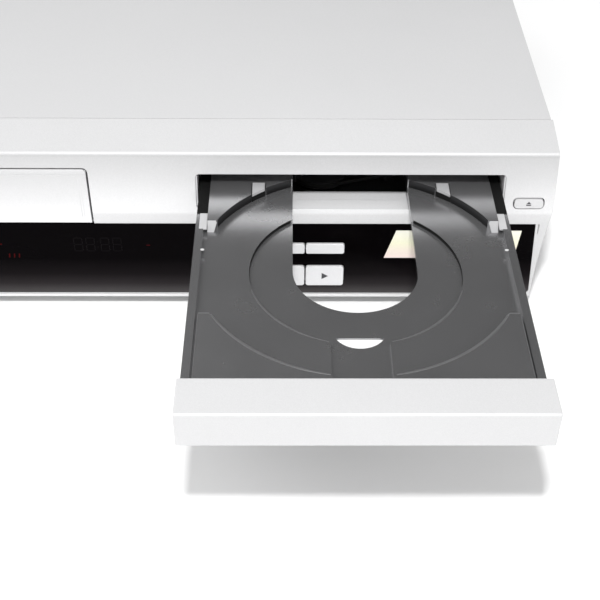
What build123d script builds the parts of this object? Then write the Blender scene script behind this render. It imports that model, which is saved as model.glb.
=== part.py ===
from build123d import *
import os
from math import pi, sin, cos, radians

# Disc player and video cassette recorder in one housing, disc tray fully open.
# Frame: X to the right, Y to the back, Z up, millimetres.
# Below, y is counted from the front panel's upper front edge and z from a level 5 mm
# under the floor; everything is moved by YS and ZS when it is written, so that the
# origin is on the floor under the middle of the whole outline.

# ---- driving dimensions -------------------------------------------------------
W = 430.0            # front panel width
H = 85.0             # top of the cover; 80 mm above the floor
Z_FLOOR = 5.0        # the floor
Z_BASE = 9.0         # underside of the housing, 4 mm above the floor
DEPTH = 257.5        # housing depth, panel edge to rear panel
JACK = 5.6           # reach of the rear jacks
XT = 129.7           # tray centre line
RIM = 66.0           # tray rim level (the level beside the disc recess)
YC = -52.2           # disc recess centre with the tray open
TRAVEL = 135.2       # tray travel
R12 = 61.0           # 12 cm recess radius
R8 = 41.0            # 8 cm recess radius
D12 = 3.8            # depth of the 12 cm recess
D8 = 5.3             # depth of the 8 cm recess
TRAY_HALF = 62.9     # half width of the tray
LAND_HALF = 58.9     # half width of the tray's raised lands
LID_HALF = 63.35     # half width of the tray lid
LID_Z0, LID_Z1 = 56.8, 71.6
LID_DEPTH = 16.8
OPEN_HALF = 64.3     # half width of the tray opening
OPEN_Z0, OPEN_Z1 = 56.3, 72.1
DOOR_X0, DOOR_X1 = -178.5, 20.3
DOOR_FLARE = 0.85    # the door's sides lean out towards its foot
DOOR_Z0, DOOR_Z1 = 49.3, 73.7
XD = (DOOR_X0 + DOOR_X1) / 2      # cassette centre line
WIN_Z0, WIN_Z1 = 12.0, 49.2
LIFT = 9.5           # rise of the traverse
SLED_TRAVEL = 34.0
YS = -63.1           # shift that centres the outline
ZS = -Z_FLOOR        # shift that sets the feet on z = 0

YSPIN = YC + TRAVEL  # turntable axis
os.makedirs("parts", exist_ok=True)


# ---- helpers ------------------------------------------------------------------
def box(x0, x1, y0, y1, z0, z1):
    return Pos((x0 + x1) / 2, (y0 + y1) / 2, (z0 + z1) / 2) * Box(x1 - x0, y1 - y0, z1 - z0)


def cyl(x, y, z0, z1, r):
    return Pos(x, y, (z0 + z1) / 2) * Cylinder(r, z1 - z0)


def cyl_x(x0, x1, y, z, r):
    return Pos((x0 + x1) / 2, y, z) * Rot(0, 90, 0) * Cylinder(r, x1 - x0)


def cyl_y(x, y0, y1, z, r):
    return Pos(x, (y0 + y1) / 2, z) * Rot(90, 0, 0) * Cylinder(r, y1 - y0)


def prism_x(edges, x0, x1):
    """Profile in (y, z), extruded along X."""
    return extrude(Plane.YZ.offset(x0) * make_face(edges), x1 - x0)


def poly_x(pts, x0, x1):
    return prism_x(Polyline(*pts, close=True), x0, x1)


def prism_y(edges, y0, y1):
    """Profile in (x, z), extruded along Y."""
    return extrude(Plane.XZ.offset(-y1) * make_face(edges), y1 - y0)


def rrect_y(x0, x1, z0, z1, y0, y1, r):
    face = Plane.XZ.offset(-y1) * (Pos((x0 + x1) / 2, (z0 + z1) / 2) * RectangleRounded(x1 - x0, z1 - z0, r))
    return extrude(face, y1 - y0)


def rrect_z(x0, x1, y0, y1, z0, z1, r):
    face = Plane.XY.offset(z0) * (Pos((x0 + x1) / 2, (y0 + y1) / 2) * RectangleRounded(x1 - x0, y1 - y0, r))
    return extrude(face, z1 - z0)


def flared_y(x0, x1, z0, z1, flare, y0, y1, r):
    """Plate whose sides lean out by flare towards its foot, with its top corners rounded."""
    s = make_face(Polyline((x0, z1), (x1, z1), (x1 + flare, z0), (x0 - flare, z0), close=True))
    s = fillet(s.vertices().sort_by(Axis.Y)[-2:], r)
    return extrude(Plane.XZ.offset(-y1) * s, y1 - y0)


def poly_z(pts, z0, z1):
    return extrude(Plane.XY.offset(z0) * make_face(Polyline(*pts, close=True)), z1 - z0)


def face_y(z):
    """Front face of the window band and the lip."""
    return -4.9 - (49.9 - z) * 0.0296


def region(dy, back, x0=-240, x1=240):
    """Everything behind the front face moved by dy, to y = back."""
    e = Line((dy, 100), (dy, 79.9)) + ThreePointArc((dy, 79.9), (dy - 2.55, 67.0), (dy - 4.6, 54.2))
    e += Polyline((dy - 4.6, 54.2), (dy - 4.9, 49.9), (dy + face_y(4.0), 4.0), (back, 4.0), (back, 100), (dy, 100))
    return prism_x(e, x0, x1)


def tri_teeth(n, m, z0, z1, start_deg, add=0.75, ded=1.15, frac=0.41):
    """Spur gear blank with straight-flanked teeth, centred on the Z axis."""
    r = n * m / 2
    pts = []
    t = frac * pi * m / 2
    for i in range(n):
        a = radians(start_deg + 360 * i / n)
        for rr, h in ((r - ded, t + 0.37 * ded), (r + add, t - 0.37 * add)):
            pts.append((rr, a - h / rr, 0))
        for rr, h in ((r + add, t - 0.37 * add), (r - ded, t + 0.37 * ded)):
            pts.append((rr, a + h / rr, 0))
    return poly_z([(q[0] * cos(q[1]), q[0] * sin(q[1])) for q in pts], z0, z1)


written = {}


def put(name, shape):
    shape = Pos(0, YS, ZS) * shape
    written[name] = shape
    export_step(shape, "parts/%s.step" % name)


# ---- front panel --------------------------------------------------------------
outer = Line((20.5, 85.0), (1.5, 81.45))
outer += ThreePointArc((1.5, 81.45), (0.42, 80.95), (0.0, 79.9))
outer += ThreePointArc((0.0, 79.9), (-2.55, 67.0), (-4.6, 54.2))
outer += Polyline((-4.6, 54.2), (-4.9, 49.9), (face_y(9.0), 9.0), (6.0, 9.0), (20.5, 9.0), (20.5, 85.0))
panel = prism_x(outer, -W / 2, W / 2)
side = Line((-W / 2, 86), (W / 2, 86)) + Line((W / 2, 86), (W / 2, 55.5))
side += ThreePointArc((W / 2, 55.5), (212.75, 39.0), (211.0, 8.0))
side += Line((211.0, 8.0), (-211.0, 8.0)) + ThreePointArc((-211.0, 8.0), (-212.75, 39.0), (-W / 2, 55.5))
side += Line((-W / 2, 55.5), (-W / 2, 86))
panel &= prism_y(side, -12, 30)
cav_up = Line((1.5, 79.0), (22, 82.85)) + Line((22, 82.85), (22, 50.2)) + Line((22, 50.2), (-2.1, 50.2))
cav_up += Line((-2.1, 50.2), (-1.9, 54.2)) + ThreePointArc((-1.9, 54.2), (0.05, 67.0), (1.5, 79.0))
panel -= prism_x(cav_up, -212.4, 212.4)
panel -= poly_x([(face_y(50.2) + 4.4, 50.3), (22, 50.3), (22, 7.0), (6.0, 7.0), (6.0, 10.6), (face_y(10.6) + 4.4, 10.6)], -207.4, 207.4)
# cassette door opening and tray opening
panel -= flared_y(DOOR_X0 - 0.8, DOOR_X1 + 0.8, WIN_Z1 + 0.1, DOOR_Z1 + 0.9, DOOR_FLARE, -12, 4.0, 2.2)
panel -= box(DOOR_X0 - 1.65, DOOR_X1 + 1.65, -2.95, 4.0, 48.2, WIN_Z1 + 0.2)
# lower front edge set back behind the trim strip
panel -= box(-240, 240, -12, -3.2, 8.0, 10.3)
panel -= rrect_y(XT - OPEN_HALF, XT + OPEN_HALF, OPEN_Z0, OPEN_Z1, -12, 4.0, 1.6)
# sill of the tray opening in two steps, and its triangular cheeks
sill = poly_x([(-2.0, 56.3), (2.6, 56.3), (2.6, 55.7), (9.6, 55.7), (9.6, 53.7), (-2.0, 53.7)], XT - 67.5, XT + 67.5)
sill &= region(1.2, 40)
panel += sill
for s in (-1, 1):
    xa, xb = sorted((XT + s * OPEN_HALF, XT + s * 66.3))
    panel += poly_x([(-1.2, 71.4), (0.4, 71.4), (9.6, 57.6), (9.6, 54.5), (-1.6, 54.5), (-1.6, 60.0)], xa, xb)
# window seat
win_out = Line((-208.65, 49.3), (208.65, 49.3)) + Line((208.65, 49.3), (210.15, 14.4))
win_out += ThreePointArc((210.15, 14.4), (209.5, 12.6), (207.8, 11.9)) + Line((207.8, 11.9), (-207.8, 11.9))
win_out += ThreePointArc((-207.8, 11.9), (-209.5, 12.6), (-210.15, 14.4)) + Line((-210.15, 14.4), (-208.65, 49.3))
panel -= prism_y(win_out, -12, 20) - region(2.05, 60)
# short upright groove beside each upper corner of the window
for s in (-1, 1):
    q = [(209.75, 49.15), (210.35, 49.15), (210.2, 44.2), (209.75, 44.2)]
    panel -= prism_y(Polyline(*[(s * a, b) for a, b in q], close=True), -12, 20) - region(0.8, 60)
# keys and buttons: (name, x0, x1, z0, z1, radius, travel)
KEYS = [
    ("play_key", XT - 18.3, XT - 1.9, 16.9, 27.2, 1.2),
    ("pause_key", XT - 35.3, XT - 18.9, 16.9, 27.2, 1.2),
    ("stop_key", XT - 52.3, XT - 35.9, 16.9, 27.2, 1.2),
    ("forward_key", XT - 18.3, XT - 1.9, 34.2, 39.2, 0.9),
    ("record_key", XT - 35.3, XT - 18.9, 34.2, 39.2, 0.9),
    ("rewind_key", XT - 52.3, XT - 35.9, 34.2, 39.2, 0.9),
    ("power_button", -200.5, -186.5, 34.0, 40.0, 2.6),
]
FACE_BUTTONS = [
    ("open_close_button", XT + 68.7, XT + 80.8, 57.25, 61.35, 1.4),
    ("cassette_eject_button", -206.1, -194.0, 57.25, 61.35, 1.4),
]
for name, x0, x1, z0, z1, r in KEYS + FACE_BUTTONS:
    g = 0.4 if name == "power_button" else (0.3 if name.endswith("_key") else 0.55)
    panel -= rrect_y(x0 - g, x1 + g, z0 - g, z1 + g, -12, 6, r + g)
# display port through the panel's inner wall
for k in range(3):
    panel -= box(-75 + 38 * k, -41 + 38 * k, -12, 6, 23.0, 43.0)
# hinge bores for the cassette door in two lugs beside the opening
HX0, HX1 = DOOR_X0 - 0.8, DOOR_X1 + 0.8
HY, HZ = 1.9, 71.4
for xa, xb in ((HX0 - 5.0, HX0), (HX1, HX1 + 5.0)):  # the door's sides pass between them
    panel += box(xa, xb, -1.0, 5.2, 68.2, 74.4) & region(0.8, 60)
panel -= cyl_x(HX0 - 4.0, HX1 + 4.0, HY, HZ, 1.26)
put("front_panel", panel)

# window: long gloss strip with key holes
window = prism_y(win_out, -12, 20) & (region(0.0, 60) - region(1.9, 61))
window &= prism_y(Polyline((-210.15, 12.05), (210.15, 12.05), (208.55, 49.2), (-208.55, 49.2), close=True), -12, 20)
# its back edge is relieved where the cassette door swings past
window -= cyl_x(DOOR_X0 - 1.9, DOOR_X1 + 1.9, HY, HZ, 23.1)
for name, x0, x1, z0, z1, r in KEYS:
    window -= rrect_y(x0 - 0.3, x1 + 0.3, z0 - 0.3, z1 + 0.3, -12, 6, r + 0.3)
put("front_window", window)

# thin bright strip under the window
put("lower_trim", poly_x([(-6.75, 10.35), (-6.75, 11.7), (-6.1, 11.7), (-6.1, 10.35)], -207.5, 207.5))

# keys and buttons: crowned caps with a stem that ends short of the switches
for name, x0, x1, z0, z1, r in KEYS:
    proud = 0.9
    cap = rrect_y(x0, x1, z0, z1, -12, 1.9, r) & region(-proud, 10)
    put(name, cap)
for name, x0, x1, z0, z1, r in FACE_BUTTONS:
    put(name, rrect_y(x0, x1, z0, z1, -12, 4.6, r) & region(-0.45, 10))

# plain label stuck on the window
label = prism_y(Polyline((XT + 20.0, 45.9), (XT + 73.4, 45.9), (XT + 71.8, 33.6), (XT + 69.8, 31.6), (XT + 15.4, 31.6), close=True), -12, 20)
put("window_label", label & (region(-0.3, 60) - region(-0.02, 61)))

# ---- cassette door ------------------------------------------------------------
# The door is a thin shell that follows the panel's face; its upper edge is a round
# bead about the hinge line, so that it turns inwards without touching the opening.
door = flared_y(DOOR_X0, DOOR_X1, DOOR_Z0, DOOR_Z1, DOOR_FLARE, -12, 4.0, 1.9)
door &= region(0.05, 60) - region(2.45, 61)
# underside of the upper edge is trimmed to a circle about the hinge line
door -= box(DOOR_X0 - 1, DOOR_X1 + 1, -12, 12, HZ, 80) - cyl_x(DOOR_X0 - 2, DOOR_X1 + 2, HY, HZ, 3.45)
ear_l = box(DOOR_X0, DOOR_X0 + 2.2, -0.6, HY + 1.6, HZ - 3.2, HZ + 1.9)
ear_r = box(DOOR_X1 - 2.2, DOOR_X1, -0.6, HY + 1.6, HZ - 3.2, HZ + 1.9)
door += (ear_l + ear_r) & region(0.6, 60)
door -= cyl_x(DOOR_X0 - 1, DOOR_X1 + 1, HY, HZ, 1.2)
door &= cyl_x(DOOR_X0 - 2, DOOR_X1 + 2, HY, HZ, 22.78)
put("cassette_door", door)
put("door_hinge_pin", cyl_x(HX0 - 3.8, HX1 + 3.8, HY, HZ, 1.2))

# ---- housing ------------------------------------------------------------------
t = 0.9
cover = poly_x([(20.8, 85.0), (20.8, 20.0), (20.8, 10.5), (DEPTH - 1.0, 10.5), (DEPTH - 1.0, 85.0)], -214.2, 214.2)
cover -= box(-214.2 + t, 214.2 - t, 10, 270, 5, 85 - t)
for s in (-1, 1):
    for k in range(14):
        y = 150 + k * 6.0
        xa, xb = sorted((s * 212, s * 216))
        cover -= box(xa, xb, y, y + 2.4, 52, 72)
for k in range(16):
    cover -= rrect_z(-190 + k * 7.0, -190 + k * 7.0 + 2.6, 196, 236, 80, 90, 1.2)
put("top_cover", cover)

pan = box(-213.0, 213.0, 21.0, DEPTH - 1.2, Z_BASE, Z_BASE + 1.0) + box(-207.0, 207.0, 6.2, 21.0, Z_BASE, Z_BASE + 1.0)
for s in (-1, 1):
    xa, xb = sorted((s * 213.0, s * 212.0))
    pan += box(xa, xb, 21.5, DEPTH - 1.2, Z_BASE, 22.0)
pan += box(-205.0, 205.0, DEPTH - 2.2, DEPTH - 1.2, Z_BASE, 17.5)
pan -= cyl_y(28, DEPTH - 4, DEPTH, 13.5, 1.5)
for ix in range(10):
    for iy in range(4):
        pan -= rrect_z(-150 + ix * 12, -150 + ix * 12 + 3, 150 + iy * 18, 150 + iy * 18 + 12, 5, 12, 1.4)
for fx in (-180, 180):
    for fy in (34, 232):
        pan -= cyl(fx, fy, 8, 11, 2.1)
put("base_pan", pan)

# rear panel with jack openings
JX = [96 + 15 * i for i in range(7)]
rear = box(-213.0, 213.0, DEPTH - 0.9, DEPTH, Z_BASE + 0.2, 84.6)
for x in JX:
    for z in (28, 44, 60):
        rear -= cyl_y(x, DEPTH - 3, DEPTH + 3, z, 4.7)
for z in (34, 54):
    rear -= cyl_y(52, DEPTH - 3, DEPTH + 3, z, 5.2)
rear -= rrect_y(-190.4, -167.6, 21.6, 38.4, DEPTH - 4, DEPTH + 4, 3.0)
for k in range(18):
    rear -= rrect_y(-140 + k * 7, -137 + k * 7, 46, 70, DEPTH - 4, DEPTH + 4, 1.4)
SCREW_R = [(-205, 78), (205, 78), (0, 79), (28, 13.5), (120, 79)]
for x, z in SCREW_R:
    rear -= cyl_y(x, DEPTH - 3, DEPTH + 3, z, 1.6)
put("rear_panel", rear)

# feet: moulded pads with a rubber-like ring, one node of four equal solids
feet = None
for fx in (-180, 180):
    for fy in (34, 232):
        f = cyl(fx, fy, Z_FLOOR, Z_BASE, 13.0) - cyl(fx, fy, Z_FLOOR - 1, Z_FLOOR + 1.6, 8.0)
        f = chamfer(f.edges().filter_by(GeomType.CIRCLE).sort_by(Axis.Z)[0:1], 0.8) + cyl(fx, fy, Z_BASE, Z_BASE + 3.0, 2.0)
        feet = f if feet is None else feet + f
put("feet", feet)

# screws: sides and rear of the cover
screws = None


def screw_x(x, y, z, s):
    a, b = sorted((x, x + s * 0.75))
    h = cyl_x(a, b, y, z, 3.4)
    c, d = sorted((x + s * 0.35, x + s * 3.0))
    return h - box(c, d, y - 0.4, y + 0.4, z - 2.2, z + 2.2) - box(c, d, y - 2.2, y + 2.2, z - 0.4, z + 0.4)


for s in (-1, 1):
    for y in (60, 222):
        q = screw_x(s * 214.2, y, 16.5, s)
        screws = q if screws is None else screws + q
for x, z in SCREW_R:
    h = cyl_y(x, DEPTH, DEPTH + 1.8, z, 3.2) + cyl_y(x, DEPTH - 6.0, DEPTH, z, 1.4)
    h -= box(x - 0.4, x + 0.4, DEPTH + 0.9, DEPTH + 3, z - 2.1, z + 2.1) + box(x - 2.1, x + 2.1, DEPTH + 0.9, DEPTH + 3, z - 0.4, z + 0.4)
    screws = screws + h
put("screws", screws)

# rear jacks: sleeves with flanges, antenna connectors, and the board that carries them
jacks = box(88, 194, DEPTH - 16.0, DEPTH - 14.4, 16, 72)
for x in JX:
    for z in (28, 44, 60):
        j = cyl_y(x, DEPTH - 14.4, DEPTH + 0.2, z, 3.9) + cyl_y(x, DEPTH + 0.2, DEPTH + JACK, z, 4.2) - cyl_y(x, DEPTH - 6, DEPTH + JACK + 1, z, 3.2) + cyl_y(x, DEPTH - 7, DEPTH + JACK - 1.5, z, 1.2) - cyl_y(x, DEPTH - 2, DEPTH + JACK, z, 0.7)
        jacks += j
put("rear_jacks", jacks)
tuner = box(34, 70, DEPTH - 42, DEPTH - 1.2, 18, 66)
for z in (34, 54):
    tuner += cyl_y(52, DEPTH - 1.2, DEPTH + JACK - 0.5, z, 4.8) - cyl_y(52, DEPTH + 0.5, DEPTH + JACK + 1, z, 0.9)
    for k in range(3):
        tuner -= cyl_y(52, DEPTH + 2.2 + k * 1.1, DEPTH + 2.6 + k * 1.1, z, 5.5) - cyl_y(52, DEPTH + 2.1 + k * 1.1, DEPTH + 2.7 + k * 1.1, z, 4.5)
put("tuner", tuner)
inlet = rrect_y(-190, -168, 22, 38, DEPTH - 16, DEPTH + 1.5, 2.6)
inlet -= rrect_y(-187.6, -170.4, 25.2, 34.8, DEPTH - 11, DEPTH + 3, 4.4)
for x in (-183.3, -174.7):
    inlet += cyl_y(x, DEPTH - 12, DEPTH - 1.5, 30, 1.1)
put("mains_inlet", inlet)

# ---- disc tray ----------------------------------------------------------------
def T(shape):
    return Pos(XT, YC, RIM) * shape


W0 = -7.3            # underside of the tray
V0, V1 = -67.5, 92.0
tray = box(-TRAY_HALF, TRAY_HALF, V0, V1, W0, -D12)
front_land = box(-LAND_HALF, LAND_HALF, V0, -28.3, -D12, 0)
rear_land = box(-58.3, 58.3, 27.1, V1, -D12, 0)
for s in (-1, 1):
    xa, xb = sorted((s * 50.0, s * 58.3))
    rear_land += poly_x([(27.1, 0.0), (27.1, -D12), (24.2, -D12)], xa, xb)
lands = front_land + rear_land
lands -= cyl(0, 0, -D12 - 1, 1, R12)
lands -= Pos(0, 0, -1.0) * Cone(R12, R12 + 1.0, 1.0, align=(Align.CENTER, Align.CENTER, Align.MIN)) & box(-70, 70, -70, -20, -2, 1)
tray += lands
for s in (-1, 1):
    xa, xb = sorted((s * 59.8, s * TRAY_HALF))
    tray += box(xa, xb, V0, V1, -D12, -1.2)
# 8 cm recess, centre slot, front channel and finger hole
tray -= cyl(0, 0, -D8, 1, R8)
slot = cyl(0, 1.7, W0 - 1, 2, 24.2) + box(-24.2, 24.2, 1.7, 76.0, W0 - 1, 2)
tray -= slot
tray -= box(-10.7, 10.7, V0 - 1, -36.0, -D8, 2)
hole = cyl(0, -31.9, W0 - 1, 2, 10.0) & box(-12, 12, -43, -36.5, W0 - 2, 3)
tray -= hole
tray -= box(-9.0, 9.0, -36.6, -33.8, W0 - 1, -D8 - 0.8)
# pockets under the hold tabs, a little wider than the tabs
for s in (-1, 1):
    xa, xb = sorted((s * 35.3, s * 41.2))
    tray -= box(xa, xb, 40.0, 53.0, -D12, 0.5)
# tongue into the lid
tray += box(-60.0, 60.0, V0 - 9.0, V0 + 1.0, W0, -D12)
tray -= box(-10.7, 10.7, V0 - 10, V0 + 1, -D8, 2)
# rack: bar with teeth towards the tray gear
GEAR_U, GEAR_Y = -32.0, 33.0      # tray gear centre (u from the tray line, y)
gv = GEAR_Y - YC
PITCH_U = GEAR_U - 15.0
n_lo, n_hi = -45, 1
rack = box(PITCH_U - 5.2, PITCH_U - 1.2, gv + n_lo * pi - 1.5, V1, -9.2, W0)
tray += rack
tb, tt = 0.41 * pi / 2 + 0.37 * 1.2, 0.41 * pi / 2 - 0.37 * 0.75
teeth = None
for k in range(n_lo, n_hi + 1):
    v = gv + k * pi
    q = poly_z([(PITCH_U - 1.2, v - tb), (PITCH_U + 0.75, v - tt), (PITCH_U + 0.75, v + tt), (PITCH_U - 1.2, v + tb)], -9.2, W0)
    tray += q
put("disc_tray", T(tray))

# hold tabs on the raised rear corners
tabs = None
for s in (-1, 1):
    xa, xb = sorted((s * 35.7, s * 40.8))
    q = box(xa, xb, 44.0, 53.0, -1.0, 0.3) - cyl(0, 0, -2, 1, R12 - 0.5)
    tabs = q if tabs is None else tabs + q
put("disc_hold_tabs", T(tabs))

# lid: hollow bar that follows the panel's face when the tray is shut
lid = box(XT - LID_HALF, XT + LID_HALF, -1.7, -1.35 + LID_DEPTH, LID_Z0, LID_Z1)
long_edges = lid.edges().filter_by(Axis.X)
lid = fillet(long_edges.sort_by(Axis.Z)[-2:], 0.8)
lid = fillet(lid.edges().filter_by(Axis.Y).sort_by(Axis.Z)[-2:], 0.5)
cavity = box(XT - LID_HALF + 1.8, XT + LID_HALF - 1.8, 0.2, -1.35 + LID_DEPTH - 1.6, LID_Z0 - 2, LID_Z1 - 1.8)
lid -= cavity
yb = -1.35 + LID_DEPTH
lid -= box(XT - 60.1, XT + 60.1, yb - 2.0, yb + 1, RIM + W0 - 0.1, RIM - D12 + 0.1)
lid = Pos(0, -TRAVEL, 0) * lid
put("tray_lid", lid)

# ---- disc loader --------------------------------------------------------------
rails = None
for s in (-1, 1):
    xa, xb = sorted((XT + s * 63.4, XT + s * 66.0))
    r1 = box(xa, xb, 17.5, 180.0, 44.0, 68.0)
    xa, xb = sorted((XT + s * 60.4, XT + s * 63.4))
    r1 += box(xa, xb, 17.5, 180.0, 56.2, 58.3)
    xa, xb = sorted((XT + s * 61.2, XT + s * 63.4))
    r1 += box(xa, xb, 17.5, 180.0, 65.3, 67.2)
    rails = r1 if rails is None else rails + r1

base = box(XT - 63.3, XT + 63.3, 17.5, 56.0, 44.0, 46.0)
base += cyl(XT + GEAR_U, GEAR_Y, 46.0, 52.0, 3.0) + cyl(XT + GEAR_U, GEAR_Y, 46.0, 57.6, 1.5)
PIN_U = GEAR_U + 20.0
base += cyl(XT + PIN_U, GEAR_Y, 46.0, 49.0, 3.0) + cyl(XT + PIN_U, GEAR_Y, 46.0, 57.0, 1.5)
MOT_U = PIN_U + 30.0
base -= cyl(XT + MOT_U, GEAR_Y, 40, 50, 3.4)
for s in (-1, 1):
    for y in (24.0, 50.0):
        base += cyl(XT + s * 56.0, y, 15.6, 44.0, 3.0)
put("loader_base", base)
rear_bar = box(XT - 63.3, XT + 63.3, 182.0 - 14.0, 180.0, 44.0, 56.0)
for s in (-1, 1):
    rear_bar += cyl(XT + s * 56.0, 174.0, 15.6, 44.0, 3.0)
rear_bar += box(XT - 20, XT + 20, 171.0, 180.0, 56.0, 57.5)
rear_bar += box(XT - 64.0, XT - 63.0, 168.0, 180.0, 44.0, 56.0) + box(XT + 63.0, XT + 64.0, 168.0, 180.0, 44.0, 56.0)
put("loader_frame", rails + rear_bar)

gear = tri_teeth(30, 1.0, 53.0, 58.2, 186.0)
gear -= cyl(0, 0, 50, 60, 1.55)
for k in range(5):
    a = radians(72 * k)
    gear -= cyl(9 * cos(a), 9 * sin(a), 50, 60, 2.6)
put("tray_gear", Pos(XT + GEAR_U, GEAR_Y, 0) * gear)
pul = tri_teeth(10, 1.0, 53.1, 56.4, 180.0) + cyl(0, 0, 49.3, 49.9, 13.0) + cyl(0, 0, 49.9, 51.9, 12.0) + cyl(0, 0, 51.9, 52.5, 13.0) + cyl(0, 0, 52.5, 53.1, 3.2)
pul -= cyl(0, 0, 40, 60, 1.55)
put("belt_pulley", Pos(XT + PIN_U, GEAR_Y, 0) * pul)
mp = cyl(0, 0, 49.3, 49.9, 4.2) + cyl(0, 0, 49.9, 51.9, 3.0) + cyl(0, 0, 51.9, 52.5, 4.2) - cyl(0, 0, 40, 60, 1.05)
put("motor_pulley", Pos(XT + MOT_U, GEAR_Y, 0) * mp)


def loop(ra, rb):
    c = make_hull((Pos(XT + PIN_U, GEAR_Y) * Circle(ra)).edges() + (Pos(XT + MOT_U, GEAR_Y) * Circle(rb)).edges())
    return c


belt = extrude(Plane.XY.offset(50.2) * loop(12.95, 3.95), 1.4) - extrude(Plane.XY.offset(49.2) * loop(12.08, 3.08), 4)
put("loading_belt", belt)
mot = cyl(XT + MOT_U, GEAR_Y, 22.0, 43.8, 11.5) + cyl(XT + MOT_U, GEAR_Y, 43.8, 45.6, 3.2) + cyl(XT + MOT_U, GEAR_Y, 45.6, 53.2, 1.0)
mot -= box(XT + MOT_U - 12, XT + MOT_U + 12, GEAR_Y + 9.5, GEAR_Y + 12, 20, 43)
mot += box(XT + MOT_U - 8, XT + MOT_U + 8, GEAR_Y - 8, GEAR_Y + 8, 20.0, 22.0)
put("loading_motor", mot)

bridge = poly_x([(YSPIN - 14, 70.5), (YSPIN + 14, 70.5), (YSPIN + 14, 71.7), (YSPIN - 14, 71.7)], XT - 66.0, XT + 66.0)
for s in (-1, 1):
    xa, xb = sorted((XT + s * 63.6, XT + s * 66.0))
    bridge += box(xa, xb, YSPIN - 14, YSPIN + 14, 68.0, 70.5)
bridge -= cyl(XT, YSPIN, 66, 75, 11.0)
put("clamp_bridge", bridge)
cl = cyl(0, 0, 66.6, 69.9, 14.0) - cyl(0, 0, 66, 69.2, 8.2) + cyl(0, 0, 69.9, 72.2, 10.4) + cyl(0, 0, 72.2, 73.4, 13.0)
put("disc_clamper", Pos(XT, YSPIN, 0) * cl)

# traverse: rises LIFT under the shut tray
trav = box(XT - 40, XT + 40, YSPIN - 22, YSPIN + 82, 40.0, 42.0)
for y in (YSPIN + 15, YSPIN + 44):
    trav -= box(XT - 20, XT + 20, y, y + 25, 38, 43)
for u in (-18.0, 14.0):
    trav += box(XT + u - 3, XT + u + 3, YSPIN + 9.0, YSPIN + 12.0, 42.0, 48.6)
    trav += box(XT + u - 3, XT + u + 3, YSPIN + 71.0, YSPIN + 74.0, 42.0, 48.6)
    trav -= cyl_y(XT + u, YSPIN + 8, YSPIN + 75, 46.0, 1.5)
trav += box(XT + 18.6, XT + 21.6, YSPIN + 74.6, YSPIN + 77.0, 42.0, 47.4)
trav -= cyl_y(XT + 20.0, YSPIN + 70, YSPIN + 80, 45.6, 0.85)
for u, y in ((-36, YSPIN - 16), (36, YSPIN - 16), (-36, YSPIN + 76), (36, YSPIN + 76)):
    trav += cyl(XT + u, y, 36.5, 40.0, 4.0) + cyl(XT + u, y, 42.0, 43.5, 4.0)
put("traverse_deck", trav)
sm = cyl(XT, YSPIN, 42.0, 47.5, 11.0) + cyl(XT, YSPIN, 47.5, 51.8, 5.0) + cyl(XT, YSPIN, 51.8, 56.6, 0.95)
put("spindle_motor", sm)
tt_ = cyl(0, 0, 53.6, 55.7, 14.0) + Pos(0, 0, 55.7) * Cone(7.4, 6.2, 2.2, align=(Align.CENTER, Align.CENTER, Align.MIN)) + cyl(0, 0, 52.2, 53.6, 6.0)
tt_ -= cyl(0, 0, 50, 57.2, 1.0)
tt_ -= cyl(0, 0, 55.3, 56.0, 13.2) - cyl(0, 0, 55, 57, 9.2)
put("turntable", Pos(XT, YSPIN, 0) * tt_)
rods = None
for u in (-18.0, 14.0):
    q = cyl_y(XT + u, YSPIN + 9.0, YSPIN + 74.0, 46.0, 1.5)
    rods = q if rods is None else rods + q
put("guide_rods", rods)
sled = box(XT - 20.8, XT + 16.8, YSPIN + 13.2, YSPIN + 35.2, 43.6, 52.0)
sled -= box(XT - 12, XT + 8, YSPIN + 10, YSPIN + 40, 42, 46.5)
for u in (-18.0, 14.0):
    sled -= cyl_y(XT + u, YSPIN + 10, YSPIN + 40, 46.0, 1.55)
sled += box(XT + 16.8, XT + 18.3, YSPIN + 20, YSPIN + 28, 44.2, 47.0)
sled += cyl(XT - 1, YSPIN + 24.2, 52.0, 53.2, 7.0) + cyl(XT - 1, YSPIN + 24.2, 53.2, 54.0, 2.6)
sled -= cyl(XT - 1, YSPIN + 24.2, 53.7, 55, 1.9)
put("pickup_sled", sled)
ls = cyl_y(0, 0, 54.4, 0, 1.4) + cyl_y(0, 54.4, 57.8, 0, 0.8)
for k in range(26):
    ls -= cyl_y(0, 2 + 2 * k, 2.8 + 2 * k, 0, 2.0) - cyl_y(0, 1.9 + 2 * k, 2.9 + 2 * k, 0, 1.1)
put("lead_screw", Pos(XT + 20.0, YSPIN + 18.0, 45.6) * ls)

# ---- cassette deck ------------------------------------------------------------
ZD = 25.6            # top of the deck plate
deck = box(XD - 101.0, XD + 101.0, 24.0, 206.0, ZD - 1.6, ZD)
for x in (XD - 94, XD + 94):
    for y in (32, 120, 198):
        deck += cyl(x, y, Z_BASE + 1.0, ZD - 1.6, 3.0)
SG = [(XD - 36, 120.0), (XD - 46, 160.0)]
TG = [(XD + 36, 120.0), (XD + 46, 160.0)]
from_dir = ((SG[1][0] - SG[0][0]) / 41.231, (SG[1][1] - SG[0][1]) / 41.231)


def groove(a, b, w):
    dx, dy = b[0] - a[0], b[1] - a[1]
    n = (dx * dx + dy * dy) ** 0.5
    dx, dy = dx / n, dy / n
    p = [(a[0] - dy * w, a[1] + dx * w), (b[0] - dy * w, b[1] + dx * w), (b[0] + dy * w, b[1] - dx * w), (a[0] + dy * w, a[1] - dx * w)]
    return poly_z(p, ZD - 4, ZD + 1) + cyl(a[0], a[1], ZD - 4, ZD + 1, w) + cyl(b[0], b[1], ZD - 4, ZD + 1, w)


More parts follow.
